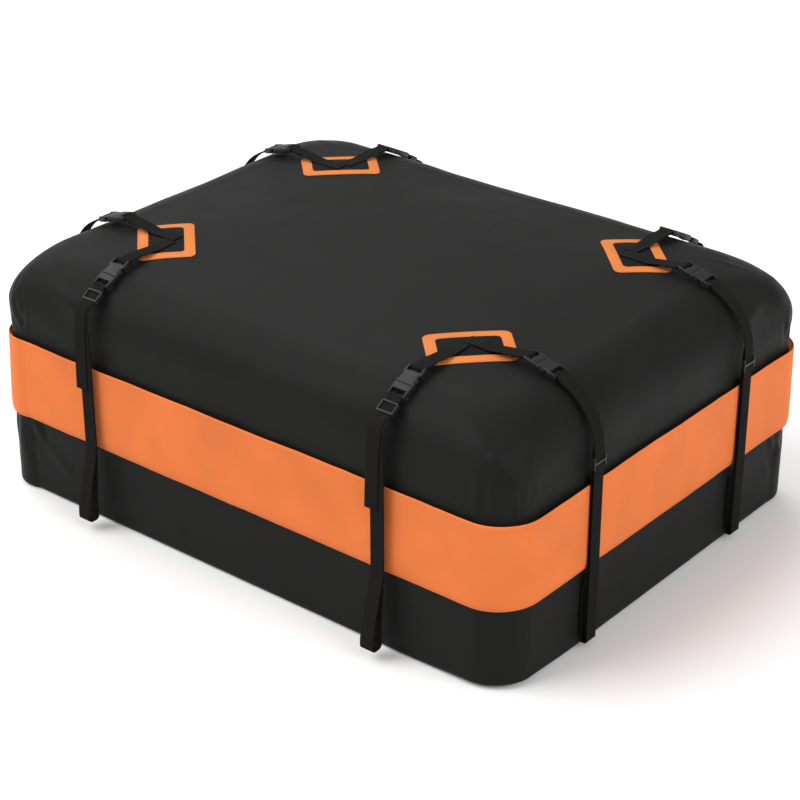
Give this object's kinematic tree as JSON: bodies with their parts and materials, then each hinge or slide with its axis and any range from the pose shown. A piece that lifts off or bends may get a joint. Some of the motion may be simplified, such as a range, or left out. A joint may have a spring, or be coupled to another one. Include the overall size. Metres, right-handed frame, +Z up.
{
  "type": "soft rooftop cargo bag",
  "caption": "Soft rectangular rooftop cargo bag with rounded shoulders, a zip behind a contrasting flap, and buckled webbing straps that end in rail loops.",
  "frame": {"origin": "centre of the base, on the surface that the bag rests on", "axes": "+X along the long side, +Y along the short side towards the rear, +Z up"},
  "size_m": [1.121, 0.9254, 0.4704],
  "materials": {
    "coated_fabric": "matt coated woven fabric",
    "orange_flap": "matt coated woven fabric",
    "orange_patch": "matt coated fabric",
    "patch_pad": "matt coated fabric",
    "webbing": "ribbed woven tape",
    "buckle_plastic": "moulded, fine grain",
    "zip_parts": "woven tape and moulded coil",
    "zip_metal": "satin"
  },
  "bodies": {
    "bag": {"lower_shell": "coated_fabric", "upper_shell": "coated_fabric", "zip_tape_lower": "zip_parts", "zip_tape_upper": "zip_parts", "zip_coil_lower": "zip_parts", "zip_coil_upper": "zip_parts", "zip_flap_band": "orange_flap", "patch_frame_front_left": "orange_patch", "patch_pad_front_left": "patch_pad", "patch_frame_front_right": "orange_patch", "patch_pad_front_right": "patch_pad", "patch_frame_rear_left": "orange_patch", "patch_pad_rear_left": "patch_pad", "patch_frame_rear_right": "orange_patch", "patch_pad_rear_right": "patch_pad", "top_webbing_front_left": "webbing", "buckle_female_front_left": "buckle_plastic", "buckle_male_front_left": "buckle_plastic", "side_strap_front_left": "webbing", "top_webbing_front_right": "webbing", "buckle_female_front_right": "buckle_plastic", "buckle_male_front_right": "buckle_plastic", "side_strap_front_right": "webbing", "top_webbing_rear_left": "webbing", "buckle_female_rear_left": "buckle_plastic", "buckle_male_rear_left": "buckle_plastic", "side_strap_rear_left": "webbing", "top_webbing_rear_right": "webbing", "buckle_female_rear_right": "buckle_plastic", "buckle_male_rear_right": "buckle_plastic", "side_strap_rear_right": "webbing", "top_webbing_right_front": "webbing", "buckle_female_right_front": "buckle_plastic", "buckle_male_right_front": "buckle_plastic", "side_strap_right_front": "webbing", "top_webbing_right_rear": "webbing", "buckle_female_right_rear": "buckle_plastic", "buckle_male_right_rear": "buckle_plastic", "side_strap_right_rear": "webbing", "top_webbing_left_front": "webbing", "buckle_female_left_front": "buckle_plastic", "buckle_male_left_front": "buckle_plastic", "side_strap_left_front": "webbing", "top_webbing_left_rear": "webbing", "buckle_female_left_rear": "buckle_plastic", "buckle_male_left_rear": "buckle_plastic", "side_strap_left_rear": "webbing"},
    "adjuster_front_left": {"strap_adjuster_front_left": "buckle_plastic"},
    "adjuster_front_right": {"strap_adjuster_front_right": "buckle_plastic"},
    "adjuster_rear_left": {"strap_adjuster_rear_left": "buckle_plastic"},
    "adjuster_rear_right": {"strap_adjuster_rear_right": "buckle_plastic"},
    "adjuster_right_front": {"strap_adjuster_right_front": "buckle_plastic"},
    "adjuster_right_rear": {"strap_adjuster_right_rear": "buckle_plastic"},
    "adjuster_left_front": {"strap_adjuster_left_front": "buckle_plastic"},
    "adjuster_left_rear": {"strap_adjuster_left_rear": "buckle_plastic"},
    "zip_left": {"zip_slider_left": "zip_metal", "zip_pull_left": "zip_parts"},
    "zip_right": {"zip_slider_right": "zip_metal", "zip_pull_right": "zip_parts"}
  },
  "joints": [
    {"name": "adjuster_slide_front_left", "type": "slide", "parent": "bag", "child": "adjuster_front_left", "axis": [0, -0.848, -0.5299], "range_m": [-0.003, 0.008]},
    {"name": "adjuster_slide_front_right", "type": "slide", "parent": "bag", "child": "adjuster_front_right", "axis": [0, -0.848, -0.5299], "range_m": [-0.003, 0.008]},
    {"name": "adjuster_slide_rear_left", "type": "slide", "parent": "bag", "child": "adjuster_rear_left", "axis": [0, 0.848, -0.5299], "range_m": [-0.003, 0.008]},
    {"name": "adjuster_slide_rear_right", "type": "slide", "parent": "bag", "child": "adjuster_rear_right", "axis": [0, 0.848, -0.5299], "range_m": [-0.003, 0.008]},
    {"name": "adjuster_slide_right_front", "type": "slide", "parent": "bag", "child": "adjuster_right_front", "axis": [0, 0, 1], "range_m": [-0.19, 0.004]},
    {"name": "adjuster_slide_right_rear", "type": "slide", "parent": "bag", "child": "adjuster_right_rear", "axis": [0, 0, 1], "range_m": [-0.19, 0.004]},
    {"name": "adjuster_slide_left_front", "type": "slide", "parent": "bag", "child": "adjuster_left_front", "axis": [0, 0, 1], "range_m": [-0.19, 0.004]},
    {"name": "adjuster_slide_left_rear", "type": "slide", "parent": "bag", "child": "adjuster_left_rear", "axis": [0, 0, 1], "range_m": [-0.19, 0.004]},
    {"name": "zip_slide_left", "type": "slide", "parent": "bag", "child": "zip_left", "axis": [1, 0, 0], "range_m": [-0.45, 0]},
    {"name": "zip_slide_right", "type": "slide", "parent": "bag", "child": "zip_right", "axis": [1, 0, 0], "range_m": [0, 0.45]}
  ]
}
